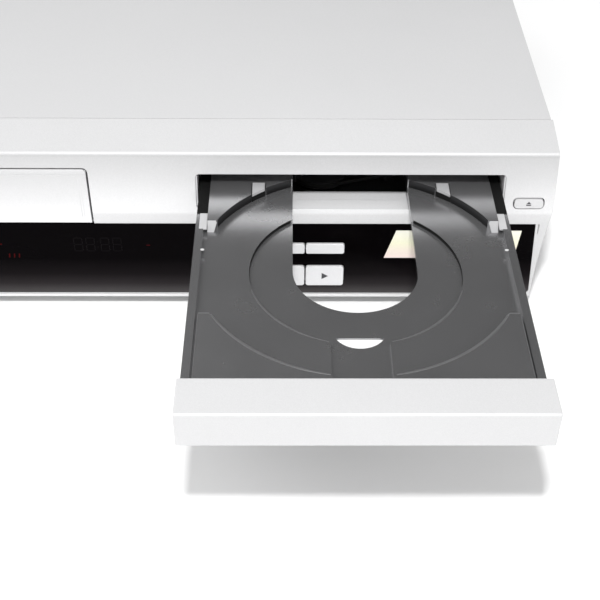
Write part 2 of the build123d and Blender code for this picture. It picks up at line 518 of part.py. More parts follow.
deck -= groove(SG[0], SG[1], 2.2) + groove(TG[0], TG[1], 2.2)
CAPX, CAPY = XD + 66.0, 138.0
deck += cyl(CAPX, CAPY, ZD, ZD + 3.0, 4.0)
deck -= cyl(CAPX, CAPY, ZD - 4, ZD + 4, 1.55)
for x in (XD - 46, XD + 46):
    deck += cyl(x, 82.0, ZD, ZD + 1.4, 4.0) + cyl(x, 82.0, ZD, ZD + 10.0, 1.5)
PAX, PAY = XD + 80.0, 118.0
deck += cyl(XD, 134.0, ZD - 4.4, ZD - 1.6, 4.0) + cyl(XD, 134.0, Z_BASE + 5.6, ZD - 4.4, 1.5)
deck += cyl(PAX, PAY, ZD, ZD + 10.5, 1.5)
put("deck_plate", deck)

for name, x in (("supply_reel", XD - 46), ("take_up_reel", XD + 46)):
    r = cyl(0, 0, ZD + 1.7, ZD + 4.0, 16.0) + cyl(0, 0, ZD + 4.0, ZD + 7.0, 9.0) + cyl(0, 0, ZD + 7.0, ZD + 19.0, 4.4)
    for k in range(6):
        a = radians(60 * k)
        r += Rot(0, 0, 60 * k) * box(4.0, 6.4, -0.7, 0.7, ZD + 7.0, ZD + 17.0)
    r -= cyl(0, 0, ZD, ZD + 12, 1.55)
    r -= cyl(0, 0, ZD + 1, ZD + 2.6, 13.0) - cyl(0, 0, ZD, ZD + 3, 4.0)
    put(name, Pos(x, 82.0, 0) * r)

# head drum, tilted by 6 degrees about X
DY = 172.0
tilt = Pos(XD, DY, ZD) * Rot(-6, 0, 0)
drum_base = cyl(0, 0, 6.0, 21.0, 31.0) + cyl(0, 0, 21.0, 36.6, 2.5) + cyl(0, 0, 36.6, 40.0, 1.5)
drum_base -= cyl(0, 0, 18.0, 22, 26.0) - cyl(0, 0, 17, 23, 6.0)
pads = box(XD - 34, XD + 34, DY - 12, DY + 28, ZD, ZD + 3.2) + box(XD - 20, XD + 20, DY - 10, DY + 12, ZD + 3.2, ZD + 7.5)
drum_base = tilt * drum_base + (pads - tilt * cyl(0, 0, 6.0, 30, 40))
put("drum_base", drum_base)
drum = cyl(0, 0, 21.4, 37.4, 31.0) - cyl(0, 0, 20, 25.0, 27.0) - cyl(0, 0, 35.4, 40, 24.0) + cyl(0, 0, 35.4, 38.2, 8.0)
drum -= cyl(0, 0, 15, 36.9, 2.56) + cyl(0, 0, 30, 45, 1.56)
for k in range(4):
    drum -= Rot(0, 0, 90 * k) * box(29.6, 32, -1.2, 1.2, 20, 22.6)
put("head_drum", tilt * drum)

# capstan with its flywheel under the deck
cap = cyl(0, 0, Z_BASE + 4.5, Z_BASE + 11.5, 19.0) - cyl(0, 0, Z_BASE + 6.5, Z_BASE + 13, 16.5) + cyl(0, 0, Z_BASE + 4.5, Z_BASE + 13.5, 4.0) + cyl(0, 0, Z_BASE + 13.5, ZD + 26.0, 1.5)
put("capstan", Pos(CAPX, CAPY, 0) * cap)

# pinch arm and roller
arm = cyl(PAX, PAY, ZD + 0.4, ZD + 9.0, 4.2) + poly_z([(PAX - 3.0, PAY), (PAX + 3.0, PAY), (PAX + 3.6, PAY + 22), (PAX - 3.0, PAY + 22)], ZD + 5.0, ZD + 7.6)
arm += cyl(PAX, PAY + 22, ZD + 5.0, ZD + 7.6, 4.0) + cyl(PAX, PAY + 22, ZD + 7.6, ZD + 23.0, 1.4)
arm -= cyl(PAX, PAY, ZD - 1, ZD + 20, 1.55)
put("pinch_arm", arm)
put("pinch_roller", cyl(PAX, PAY + 22, ZD + 8.0, ZD + 22.0, 6.0) - cyl(PAX, PAY + 22, ZD, ZD + 30, 1.45))

# tape guides that carry the tape round the drum
for name, (x, y) in (("supply_guide", SG[0]), ("take_up_guide", TG[0])):
    g = cyl(x, y, ZD - 3.4, ZD + 0.3, 1.7) + cyl(x, y, ZD + 0.3, ZD + 3.3, 4.6) + cyl(x, y, ZD - 4.6, ZD - 3.4, 4.0)
    g += cyl(x, y, ZD + 3.3, ZD + 24.0, 1.2) + cyl(x, y, ZD + 6.0, ZD + 22.0, 2.6) + cyl(x, y, ZD + 22.0, ZD + 23.2, 3.4)
    put(name, g)

# threading gear under the deck
tg = tri_teeth(28, 1.0, Z_BASE + 6.0, Z_BASE + 9.0, 0.0) - cyl(0, 0, 5, 30, 1.55)
for k in range(6):
    a = radians(60 * k + 30)
    tg -= cyl(8.6 * cos(a), 8.6 * sin(a), 5, 30, 2.4)
put("threading_gear", Pos(XD, 134.0, 0) * tg)

# fixed heads and tape posts on the deck
heads = box(XD + 56, XD + 72, 160, 168, ZD, ZD + 6.0) + box(XD + 58, XD + 70, 161, 167, ZD + 6.0, ZD + 22.0)
heads += box(XD - 78, XD - 66, 140, 148, ZD, ZD + 5.0) + box(XD - 76, XD - 68, 141, 147, ZD + 5.0, ZD + 20.0)
for x, y in ((XD - 62, 128.0), (XD + 55.0, 150.0)):
    heads += cyl(x, y, ZD, ZD + 3.0, 4.0) + cyl(x, y, ZD + 3.0, ZD + 22.0, 1.8) + cyl(x, y, ZD + 22.0, ZD + 23.2, 3.0)
put("fixed_heads", heads)

# carriage rails, carriage and cassette holder
crails = None
for s in (-1, 1):
    xa, xb = sorted((XD + s * 99.6, XD + s * 100.8))
    q = box(xa, xb, 26.0, 152.0, ZD, 80.0) - box(xa - 1, xb + 1, 44, 84, 36, 46) - box(xa - 1, xb + 1, 92, 132, 36, 46)
    for y in (44, 66, 88, 110):
        q -= cyl_x(xa - 1, xb + 1, y, 62, 0.5)
    crails = q if crails is None else crails + q
put("carriage_rails", crails)
car = None
for s in (-1, 1):
    xa, xb = sorted((XD + s * 97.4, XD + s * 98.6))
    q = box(xa, xb, 32.0, 84.0, 54.0, 81.6)
    car = q if car is None else car + q
car += box(XD - 98.6, XD + 98.6, 60.0, 84.0, 80.4, 81.6)
put("carriage", car)
hold = box(XD - 96.6, XD + 96.6, 29.0, 90.0, 77.4, 78.4)
for k in (-1, 0, 1):
    hold -= rrect_z(XD + 42 * k - 18, XD + 42 * k + 18, 44, 76, 70, 80, 4.0)
for s in (-1, 1):
    xa, xb = sorted((XD + s * 95.6, XD + s * 96.6))
    hold += box(xa, xb, 29.0, 90.0, 49.8, 77.4)
    xa, xb = sorted((XD + s * 87.0, XD + s * 95.6))
    hold += box(xa, xb, 29.0, 90.0, 49.8, 50.8)
put("cassette_holder", hold)

# ---- electronics --------------------------------------------------------------
main = box(36, 206, 60, 210, 14.0, 15.6)
for x in (42, 200):
    for y in (66, 204):
        main += cyl(x, y, Z_BASE + 1.0, 14.0, 2.6)
for (x, y, w, d, h) in ((120, 130, 30, 30, 2.6), (165, 150, 24, 18, 2.2), (80, 150, 20, 20, 2.2), (150, 95, 16, 24, 2.0), (90, 100, 22, 10, 4.0), (186, 194, 12, 28, 7.0), (60, 120, 10, 34, 6.0), (110, 190, 46, 8, 6.0)):
    main += box(x - w / 2, x + w / 2, y - d / 2, y + d / 2, 15.6, 15.6 + h)
for k in range(7):
    main += cyl(70 + 12 * k, 74, 15.6, 24.0, 3.2)
put("main_board", main)

fb = box(-200, 206, 7.0, 8.6, 13.0, 48.0)
fb -= box(-77, 37, 5, 10, 21, 45)
for name, x0, x1, z0, z1, r in KEYS:
    cx, cz = (x0 + x1) / 2, (z0 + z1) / 2
    fb += box(cx - 3, cx + 3, 4.2, 7.0, cz - 2.4, cz + 2.4) + cyl_y(cx, 3.2, 4.2, cz, 1.4)
put("front_board", fb)
disp = box(-74, 34, 2.4, 8.2, 24.0, 42.0)
disp = fillet(disp.edges().filter_by(Axis.Y), 1.0)
disp += box(-72, 32, 8.2, 9.8, 25.0, 41.0)
put("display_tube", disp)

pb = box(-206, 16, 209, 252, 14.0, 15.6)
for x in (-200, 10):
    for y in (213, 248):
        pb += cyl(x, y, Z_BASE + 1.0, 14.0, 2.6)
pb += box(-120, -112, 214, 248, 15.6, 44.0)
for k in range(5):
    pb += box(-112, -104, 216 + 7 * k, 217.6 + 7 * k, 20.0, 42.0)
for (x, y, r, h) in ((-150, 230, 11, 30), (-134, 222, 5, 20), (-134, 240, 5, 20), (-60, 222, 6, 22), (-60, 240, 6, 22), (-44, 222, 5, 16), (-44, 240, 5, 16), (-24, 230, 4, 14)):
    pb += cyl(x, y, 15.6, 15.6 + h, r)
tr = box(-100, -72, 216, 246, 15.6, 24.0) + box(-97, -75, 219, 243, 24.0, 40.0) + box(-100, -72, 216, 246, 40.0, 44.0)
tr += box(-102, -70, 225, 237, 15.6, 44.5)
put("power_board", pb + tr)

print(len(written), "nodes")
lo = [min(tuple(s.bounding_box().min)[i] for s in written.values()) for i in range(3)]
hi = [max(tuple(s.bounding_box().max)[i] for s in written.values()) for i in range(3)]
print("box", [round(v, 2) for v in lo], [round(v, 2) for v in hi])
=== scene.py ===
import bpy
import bmesh
from math import sin, cos, pi, radians
from mathutils import Matrix, Vector


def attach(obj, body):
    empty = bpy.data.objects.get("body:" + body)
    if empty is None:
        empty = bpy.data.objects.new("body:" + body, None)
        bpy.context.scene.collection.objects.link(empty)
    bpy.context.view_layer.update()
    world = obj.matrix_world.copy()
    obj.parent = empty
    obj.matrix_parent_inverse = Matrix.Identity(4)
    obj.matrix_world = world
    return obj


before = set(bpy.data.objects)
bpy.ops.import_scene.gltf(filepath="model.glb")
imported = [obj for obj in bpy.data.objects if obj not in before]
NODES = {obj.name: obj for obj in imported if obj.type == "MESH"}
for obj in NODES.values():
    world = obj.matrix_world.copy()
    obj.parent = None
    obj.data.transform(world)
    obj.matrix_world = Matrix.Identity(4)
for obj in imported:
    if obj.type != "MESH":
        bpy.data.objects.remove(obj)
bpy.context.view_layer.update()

scene = bpy.context.scene

YS = -0.0631                      # row y of the front panel's upper edge
XT = 0.1297                       # tray centre line
XD = -0.0791                      # cassette centre line
TRAVEL = 0.1352
ZS = -0.005                       # heights below are counted from 5 mm under the floor


# ---- camera ---------------------------------------------------------------------
def make_camera():
    pitch, yaw, roll = radians(40.80), radians(0.929), radians(0.681)
    fwd = Vector((sin(yaw) * cos(pitch), cos(yaw) * cos(pitch), -sin(pitch)))
    r = Vector((cos(yaw), -sin(yaw), 0.0))
    u = Vector((sin(yaw) * sin(pitch), cos(yaw) * sin(pitch), cos(pitch)))
    r2 = cos(roll) * r + sin(roll) * u
    u2 = -sin(roll) * r + cos(roll) * u
    cam = bpy.data.cameras.new("camera")
    cam.sensor_fit = "HORIZONTAL"
    cam.sensor_width = 36.0
    cam.lens = 1149.93 * 36.0 / 600.0
    cam.shift_x = (300.0 - 302.20) / 600.0
    cam.shift_y = (300.15 - 300.0) / 600.0
    cam.clip_start = 0.01
    cam.clip_end = 50.0
    ob = bpy.data.objects.new("camera", cam)
    scene.collection.objects.link(ob)
    m = Matrix(((r2.x, u2.x, -fwd.x, 0.10373),
                (r2.y, u2.y, -fwd.y, -0.45706),
                (r2.z, u2.z, -fwd.z, 0.34246 + ZS),
                (0.0, 0.0, 0.0, 1.0)))
    ob.matrix_world = m
    scene.camera = ob
    return ob


make_camera()

# ---- material building -------------------------------------------------------------
MATS = {}


def nodes_of(m):
    m.use_nodes = True
    nt = m.node_tree
    nt.nodes.clear()
    out = nt.nodes.new("ShaderNodeOutputMaterial")
    bsdf = nt.nodes.new("ShaderNodeBsdfPrincipled")
    nt.links.new(bsdf.outputs[0], out.inputs[0])
    return nt, bsdf


def scaled(nt, stretch):
    tc = nt.nodes.new("ShaderNodeTexCoord")
    mp = nt.nodes.new("ShaderNodeMapping")
    mp.inputs["Scale"].default_value = stretch
    nt.links.new(tc.outputs["Object"], mp.inputs["Vector"])
    return mp.outputs["Vector"]


def noise(nt, vec, scale, detail=3.0, rough=0.5):
    n = nt.nodes.new("ShaderNodeTexNoise")
    n.inputs["Scale"].default_value = scale
    n.inputs["Detail"].default_value = detail
    n.inputs["Roughness"].default_value = rough
    nt.links.new(vec, n.inputs["Vector"])
    return n.outputs["Fac"]


def ramp(nt, fac, stops):
    r = nt.nodes.new("ShaderNodeValToRGB")
    e = r.color_ramp.elements
    while len(e) < len(stops):
        e.new(0.5)
    for k, (p, c) in enumerate(stops):
        e[k].position = p
        e[k].color = (c[0], c[1], c[2], 1.0)
    nt.links.new(fac, r.inputs["Fac"])
    return r.outputs["Color"]


def span(nt, fac, lo, hi, a, b):
    r = nt.nodes.new("ShaderNodeMapRange")
    for k, v in (("From Min", lo), ("From Max", hi), ("To Min", a), ("To Max", b)):
        r.inputs[k].default_value = v
    nt.links.new(fac, r.inputs["Value"])
    return r.outputs["Result"]


def mul(nt, a, b, kind="MULTIPLY", fac=1.0):
    m = nt.nodes.new("ShaderNodeMix")
    m.data_type = "RGBA"
    m.blend_type = kind
    m.inputs[0].default_value = fac
    nt.links.new(a, m.inputs[6])
    nt.links.new(b, m.inputs[7])
    return m.outputs[2]


def surface(name, col, rough=0.45, metal=0.0, spec=0.5, coat=0.0, coat_rough=0.08,
            var=0.04, vscale=30.0, rvar=0.05, rscale=60.0, grain=0.12, gscale=2600.0,
            gdist=0.00005, soft=0.00025, stretch=(1.0, 1.0, 1.0), flakes=0.0, wear=0.0,
            wear_col=(0.8, 0.8, 0.8), ior=None, sheen=0.0, painted_height_shading=None, speck=0.0):
    """A moulded, painted or turned surface: cloudy colour, uneven gloss, fine grain and softened edges; the optional
    colour scaling by height is painted light and shade.
    """
    m = bpy.data.materials.new(name)
    nt, b = nodes_of(m)
    vec = scaled(nt, stretch)
    big = noise(nt, vec, vscale, 4.0, 0.55)
    lo = tuple(c * (1.0 - var) for c in col)
    hi = tuple(min(1.0, c * (1.0 + var)) for c in col)
    colour = ramp(nt, big, [(0.3, lo), (0.7, hi)])
    # painted light and shade: colour made lighter or darker with height, standing in for how light falls
    if painted_height_shading:
        sep = nt.nodes.new("ShaderNodeSeparateXYZ")
        tc = nt.nodes.new("ShaderNodeTexCoord")
        nt.links.new(tc.outputs["Object"], sep.inputs[0])
        z0, z1, stops = painted_height_shading
        zz = span(nt, sep.outputs[2], z0, z1, 0.0, 1.0)
        colour = mul(nt, colour, ramp(nt, zz, [(p, (k, k, k)) for p, k in stops]))
    if speck > 0.0:
        dust = noise(nt, vec, 1400.0, 2.0, 0.4)
        colour = mul(nt, colour, ramp(nt, dust, [(0.70, (1.0,) * 3), (0.80, (1.0 + speck,) * 3)]))
    if flakes > 0.0:
        v = nt.nodes.new("ShaderNodeTexVoronoi")
        v.inputs["Scale"].default_value = 5200.0
        nt.links.new(vec, v.inputs["Vector"])
        sep = nt.nodes.new("ShaderNodeSeparateColor")
        nt.links.new(v.outputs["Color"], sep.inputs[0])
        f = ramp(nt, sep.outputs[0], [(0.0, (1.0 - flakes,) * 3), (1.0, (1.0,) * 3)])
        colour = mul(nt, colour, f)
    if wear > 0.0:
        bev = nt.nodes.new("ShaderNodeBevel")
        bev.samples = 4
        bev.inputs["Radius"].default_value = 0.0006
        geo = nt.nodes.new("ShaderNodeNewGeometry")
        dot = nt.nodes.new("ShaderNodeVectorMath")
        dot.operation = "DOT_PRODUCT"
        nt.links.new(bev.outputs[0], dot.inputs[0])
        nt.links.new(geo.outputs["Normal"], dot.inputs[1])
        edge = span(nt, dot.outputs["Value"], 0.98, 0.75, 0.0, wear)
        patch = noise(nt, vec, 240.0, 5.0, 0.6)
        both = nt.nodes.new("ShaderNodeMath")
        both.operation = "MULTIPLY"
        nt.links.new(edge, both.inputs[0])
        nt.links.new(span(nt, patch, 0.35, 0.65, 0.2, 1.0), both.inputs[1])
        mm = nt.nodes.new("ShaderNodeMix")
        mm.data_type = "RGBA"
        nt.links.new(both.outputs[0], mm.inputs[0])
        nt.links.new(colour, mm.inputs[6])
        mm.inputs[7].default_value = (*wear_col, 1.0)
        colour = mm.outputs[2]
    nt.links.new(colour, b.inputs["Base Color"])
    r = noise(nt, vec, rscale, 5.0, 0.6)
    nt.links.new(span(nt, r, 0.25, 0.75, max(0.02, rough - rvar), rough + rvar), b.inputs["Roughness"])
    g = noise(nt, vec, gscale, 2.0, 0.5)
    bump = nt.nodes.new("ShaderNodeBump")
    bump.inputs["Strength"].default_value = grain
    bump.inputs["Distance"].default_value = gdist
    nt.links.new(g, bump.inputs["Height"])
    if soft > 0.0:
        bv = nt.nodes.new("ShaderNodeBevel")
        bv.samples = 4
        bv.inputs["Radius"].default_value = soft
        nt.links.new(bv.outputs[0], bump.inputs["Normal"])
    nt.links.new(bump.outputs[0], b.inputs["Normal"])
    b.inputs["Metallic"].default_value = metal
    b.inputs["Specular IOR Level"].default_value = spec
    b.inputs["Coat Weight"].default_value = coat
    b.inputs["Coat Roughness"].default_value = coat_rough
    if ior:
        b.inputs["IOR"].default_value = ior
    MATS[name] = m
    return m


# painted light and shade: the silver face is made lighter low down and darker towards its top, with a painted dark line
# just under the upper front edge
SILVER = surface("silver_paint", (0.575, 0.575, 0.58), rough=0.42, metal=0.10, spec=0.5, coat=0.08,
                 coat_rough=0.25, var=0.010, vscale=14.0, rvar=0.03, grain=0.10, gscale=5200.0, flakes=0.10,
                 painted_height_shading=(0.044, 0.080, [(0.0, 0.97), (0.11, 0.99), (0.135, 1.01), (0.165, 1.12), (0.306, 1.06), (0.43, 0.99), (0.556, 0.91),
                                      (0.66, 0.85), (0.75, 0.81), (0.84, 0.77), (0.860, 0.72), (0.875, 0.82), (0.905, 0.94), (1.0, 0.94)]))
# painted light and shade: the door is made lighter towards the bottom and darker towards the top
DOOR = surface("door_paint", (0.575, 0.575, 0.58), rough=0.42, metal=0.10, spec=0.5, coat=0.08,
               coat_rough=0.25, var=0.010, vscale=14.0, rvar=0.03, grain=0.10, gscale=5200.0, flakes=0.10,
               painted_height_shading=(0.044, 0.0690, [(0.0, 1.16), (0.26, 1.10), (0.44, 1.01), (0.62, 0.94), (0.8, 0.88), (1.0, 0.83)]))
LID = surface("lid_silver_paint", (0.535, 0.535, 0.54), rough=0.42, metal=0.10, spec=0.5, coat=0.08,
              coat_rough=0.25, var=0.010, vscale=22.0, rvar=0.03, grain=0.10, gscale=5200.0, flakes=0.08)
COVER = surface("cover_paint", (0.525, 0.525, 0.53), rough=0.50, metal=0.05, spec=0.45, var=0.012,
                vscale=9.0, rvar=0.04, grain=0.30, gscale=1700.0, gdist=0.00010, flakes=0.06)
TRIM = surface("trim_silver", (0.70, 0.70, 0.705), rough=0.34, metal=0.3, spec=0.5, var=0.01,
               vscale=40.0, grain=0.05, gscale=6000.0, flakes=0.05)
KEYS = surface("key_silver", (0.70, 0.70, 0.71), rough=0.35, metal=0.20, spec=0.5, coat=0.15, var=0.015,
               vscale=60.0, grain=0.06, gscale=6000.0, flakes=0.06, soft=0.0004)
TRAY = surface("tray_charcoal", (0.385, 0.385, 0.392), rough=0.265, metal=0.87, spec=0.4, var=0.04, vscale=26.0,
               rvar=0.02, rscale=34.0, grain=0.04, gscale=5200.0, gdist=0.00003, soft=0.0)
# painted shade: near-black for the recess walls and slot sides that lie in shade, darker still towards their foot
WALL_SHADE = surface("tray_wall_shade", (0.017, 0.017, 0.018), rough=0.5, spec=0.15, var=0.10, vscale=60.0, grain=0.15, soft=0.0,
               painted_height_shading=(0.0572, 0.0610, [(0.0, 0.15), (0.35, 0.35), (0.6, 0.9), (1.0, 1.3)]))
# painted shade: black for hollows and gaps on the tray that lie in shade
PIT_SHADE = surface("tray_pit_shade", (0.006, 0.006, 0.006), rough=0.6, spec=0.1, var=0.10, vscale=60.0, grain=0.10, soft=0.0)
TABS = surface("tab_grey", (0.33, 0.33, 0.335), rough=0.38, var=0.05, vscale=120.0, grain=0.12)
# painted highlight: light grey standing in for the bright band on the tray rail near the front panel
PAD_HIGHLIGHT = surface("tray_pad_highlight", (0.42, 0.42, 0.425), rough=0.40, var=0.04, vscale=160.0, grain=0.12)
# the ramped land ends are real, their light grey is painted highlight
FACET_HIGHLIGHT = surface("tray_facet_highlight", (0.32, 0.32, 0.325), rough=0.40, var=0.04, vscale=160.0, grain=0.12)
# painted highlight: grey a little lighter than the tray for the rounded rim edges
RIM_HIGHLIGHT = surface("tray_rim_highlight", (0.088, 0.088, 0.090), rough=0.42, spec=0.4, var=0.06, vscale=160.0, grain=0.05, soft=0.0)
CHEEK = surface("cheek_paint", (0.46, 0.46, 0.465), rough=0.45, var=0.02, vscale=60.0, grain=0.08, soft=0.0)
# painted highlight: small pale marks on the tray rail standing in for glints
TICK_GLINT = surface("tick_glint", (0.50, 0.50, 0.50), rough=0.45, var=0.04, vscale=300.0, grain=0.08)
BLACK = surface("black_plastic", (0.018, 0.018, 0.019), rough=0.5, var=0.10, vscale=50.0, grain=0.25,
                gscale=1800.0)
WHITE = surface("natural_plastic", (0.62, 0.61, 0.56), rough=0.42, var=0.04, vscale=60.0, grain=0.10)
RUBBER = surface("rubber", (0.016, 0.016, 0.016), rough=0.72, spec=0.3, var=0.15, vscale=160.0, grain=0.4,
                 gscale=1500.0, gdist=0.0001)
ZINC = surface("zinc_sheet", (0.52, 0.53, 0.54), rough=0.36, metal=0.85, var=0.08, vscale=120.0, rvar=0.10,
               rscale=220.0, grain=0.15, gscale=900.0, gdist=0.00004)
STEEL = surface("turned_steel", (0.58, 0.58, 0.59), rough=0.26, metal=1.0, var=0.04, vscale=200.0,
                stretch=(1.0, 1.0, 14.0), grain=0.12, gscale=900.0)
ALU = surface("machined_aluminium", (0.70, 0.70, 0.71), rough=0.28, metal=1.0, var=0.03, vscale=180.0,
              stretch=(1.0, 1.0, 18.0), grain=0.10, gscale=800.0)
BRASS = surface("brass", (0.62, 0.46, 0.20), rough=0.28, metal=1.0, var=0.05, vscale=200.0,
                stretch=(1.0, 1.0, 10.0), grain=0.08)
INK = surface("ink_dark", (0.045, 0.045, 0.05), rough=0.5, var=0.10, vscale=400.0, grain=0.05, soft=0.0)
SCREW = surface("screw_steel", (0.46, 0.46, 0.47), rough=0.34, metal=1.0, var=0.06, vscale=300.0, grain=0.15)


def window_material():
    """Gloss black acrylic whose colour is painted paler, to a smoky grey, along its lower edge: a painted reflection of
    the floor.
    """
    m = bpy.data.materials.new("window_gloss")
    nt, b = nodes_of(m)
    vec = scaled(nt, (1.0, 1.0, 1.0))
    sep = nt.nodes.new("ShaderNodeSeparateXYZ")
    nt.links.new(vec, sep.inputs[0])
    # painted reflection: colour rising from black to grey towards the bottom of the window
    z = span(nt, sep.outputs[2], 0.0120 + ZS, 0.0492 + ZS, 0.0, 1.0)
    tone = ramp(nt, z, [(0.0, (0.060, 0.056, 0.057)), (0.14, (0.020, 0.0175, 0.0185)), (0.28, (0.0062, 0.0050, 0.0056)),
                        (0.50, (0.0010, 0.0006, 0.0009)), (1.0, (0.0010, 0.0006, 0.0009))])
    cl = noise(nt, vec, 18.0, 3.0)
    nt.links.new(mul(nt, tone, ramp(nt, cl, [(0.3, (0.9,) * 3), (0.7, (1.0,) * 3)])), b.inputs["Base Color"])
    r = noise(nt, vec, 70.0, 5.0, 0.65)
    nt.links.new(span(nt, r, 0.3, 0.7, 0.05, 0.09), b.inputs["Roughness"])
    g = noise(nt, vec, 260.0, 2.0)
    bump = nt.nodes.new("ShaderNodeBump")
    bump.inputs["Strength"].default_value = 0.02
    bump.inputs["Distance"].default_value = 0.00002
    nt.links.new(g, bump.inputs["Height"])
    nt.links.new(bump.outputs[0], b.inputs["Normal"])
    b.inputs["Specular IOR Level"].default_value = 0.022
    b.inputs["Coat Weight"].default_value = 0.0
    MATS["window_gloss"] = m
    return m


WINDOW = window_material()


def board_material():
    """Printed board: green lacquer with faint copper runs under it."""
    m = bpy.data.materials.new("printed_board")
    nt, b = nodes_of(m)
    vec = scaled(nt, (1.0, 1.0, 1.0))
    br = nt.nodes.new("ShaderNodeTexBrick")
    br.offset = 0.37
    br.inputs["Scale"].default_value = 55.0
    br.inputs["Mortar Size"].default_value = 0.05
    br.inputs["Color1"].default_value = (0.015, 0.085, 0.035, 1.0)
    br.inputs["Color2"].default_value = (0.018, 0.095, 0.04, 1.0)
    br.inputs["Mortar"].default_value = (0.03, 0.14, 0.06, 1.0)
    nt.links.new(vec, br.inputs["Vector"])
    n = noise(nt, vec, 90.0, 4.0)
    nt.links.new(mul(nt, br.outputs["Color"], ramp(nt, n, [(0.3, (0.8,) * 3), (0.7, (1.0,) * 3)])), b.inputs["Base Color"])
    nt.links.new(span(nt, n, 0.3, 0.7, 0.28, 0.42), b.inputs["Roughness"])
    bump = nt.nodes.new("ShaderNodeBump")
    bump.inputs["Strength"].default_value = 0.15
    bump.inputs["Distance"].default_value = 0.00005
    nt.links.new(br.outputs["Fac"], bump.inputs["Height"])
    nt.links.new(bump.outputs[0], b.inputs["Normal"])
    MATS["printed_board"] = m
    return m


BOARD = board_material()


def label_material():
    """Plain coated paper, pale yellow that warms a little to one side."""
    m = bpy.data.materials.new("label_paper")
    nt, b = nodes_of(m)
    vec = scaled(nt, (1.0, 1.0, 1.0))
    sep = nt.nodes.new("ShaderNodeSeparateXYZ")
    nt.links.new(vec, sep.inputs[0])
    tone = ramp(nt, span(nt, sep.outputs[2], 0.0316 + ZS, 0.0459 + ZS, 0.0, 1.0),
                [(0.0, (0.78, 0.66, 0.62)), (0.30, (0.78, 0.70, 0.60)), (0.55, (0.78, 0.77, 0.58)), (1.0, (0.78, 0.77, 0.68))])
    n = noise(nt, vec, 900.0, 5.0, 0.7)
    nt.links.new(mul(nt, tone, ramp(nt, n, [(0.3, (0.94,) * 3), (0.7, (1.0,) * 3)])), b.inputs["Base Color"])
    nt.links.new(span(nt, n, 0.3, 0.7, 0.3, 0.42), b.inputs["Roughness"])
    bump = nt.nodes.new("ShaderNodeBump")
    bump.inputs["Strength"].default_value = 0.08
    bump.inputs["Distance"].default_value = 0.00003
    nt.links.new(n, bump.inputs["Height"])
    nt.links.new(bump.outputs[0], b.inputs["Normal"])
    MATS["label_paper"] = m
    return m


LABEL = label_material()


def glow_material(name, col, strength, base):
    m = bpy.data.materials.new(name)
    nt, b = nodes_of(m)
    vec = scaled(nt, (1.0, 1.0, 1.0))
    n = noise(nt, vec, 700.0, 3.0)
    nt.links.new(ramp(nt, n, [(0.3, tuple(c * 0.8 for c in base)), (0.7, base)]), b.inputs["Base Color"])
    nt.links.new(ramp(nt, n, [(0.3, tuple(c * 0.7 for c in col)), (0.7, col)]), b.inputs["Emission Color"])
    b.inputs["Emission Strength"].default_value = strength
    b.inputs["Roughness"].default_value = 0.3
    b.inputs["Specular IOR Level"].default_value = 0.022
    MATS[name] = m
    return m


RED = glow_material("display_red", (1.0, 0.045, 0.050), 0.055, (0.012, 0.001, 0.001))
# the unlit ghost segments are given a faint painted glow
GHOST_GLOW = glow_material("display_ghost_glow", (0.006, 0.005, 0.006), 0.05, (0.0042, 0.0034, 0.0040))

FINISH = {
    "front_panel": SILVER, "cassette_door": DOOR, "lower_trim": TRIM, "top_cover": COVER,
    "front_window": WINDOW, "disc_tray": TRAY, "tray_lid": LID, "disc_hold_tabs": TABS, "window_label": LABEL,
    "base_pan": ZINC, "rear_panel": COVER, "clamp_bridge": ZINC, "deck_plate": ZINC, "tuner": ZINC,
    "traverse_deck": ZINC, "carriage_rails": ZINC, "carriage": ZINC, "cassette_holder": ZINC,
    "feet": RUBBER, "loading_belt": RUBBER, "pinch_roller": RUBBER,
    "screws": SCREW, "door_hinge_pin": STEEL, "guide_rods": STEEL, "lead_screw": STEEL, "capstan": STEEL,
    "spindle_motor": STEEL, "loading_motor": BLACK,
    "rear_jacks": BLACK, "mains_inlet": BLACK, "loader_base": BLACK, "loader_frame": BLACK,
    "disc_clamper": BLACK, "turntable": BLACK, "fixed_heads": BLACK, "pinch_arm": BLACK,
    "tray_gear": BLACK, "belt_pulley": BLACK, "motor_pulley": BLACK, "threading_gear": WHITE,
    "supply_reel": WHITE, "take_up_reel": WHITE,
    "head_drum": ALU, "drum_base": ALU, "pickup_sled": ALU,
    "main_board": BOARD, "front_board": BOARD, "power_board": BOARD,
    "display_tube": WINDOW, "supply_guide": BRASS, "take_up_guide": BRASS,
    "open_close_button": LID, "cassette_eject_button": LID,
}
for name, ob in NODES.items():
    m = FINISH.get(name, KEYS)
    if not ob.material_slots:
        ob.data.materials.append(m)
    for s in ob.material_slots:
        s.material = m


# ---- mesh pieces -------------------------------------------------------------------
def face_y(z):
    """Front face of the window band at a height above the floor, in metres."""
    return YS + (-4.9 - (49.9 - (z - ZS) * 1000.0) * 0.0296) / 1000.0


def upper_face_y(z):
    """The silver face above the crease: arc through three known points, in metres."""
    pts = ((79.9, 0.0), (67.0, -2.55), (54.2, -4.6))
    zz = (z - ZS) * 1000.0
    y = 0.0
    for i, (zi, yi) in enumerate(pts):
        w = yi
        for j, (zj, _) in enumerate(pts):
            if j != i:
                w *= (zz - zj) / (zi - zj)
        y += w
    return YS + y / 1000.0


def piece(name, bm, mat, body, smooth=False):
    me = bpy.data.meshes.new(name)
    bmesh.ops.recalc_face_normals(bm, faces=bm.faces[:])
    bm.to_mesh(me)
    bm.free()
    me.materials.append(mat)
    if smooth:
        for p in me.polygons:
            p.use_smooth = True
    ob = bpy.data.objects.new(name, me)
    scene.collection.objects.link(ob)
    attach(ob, body)
    return ob


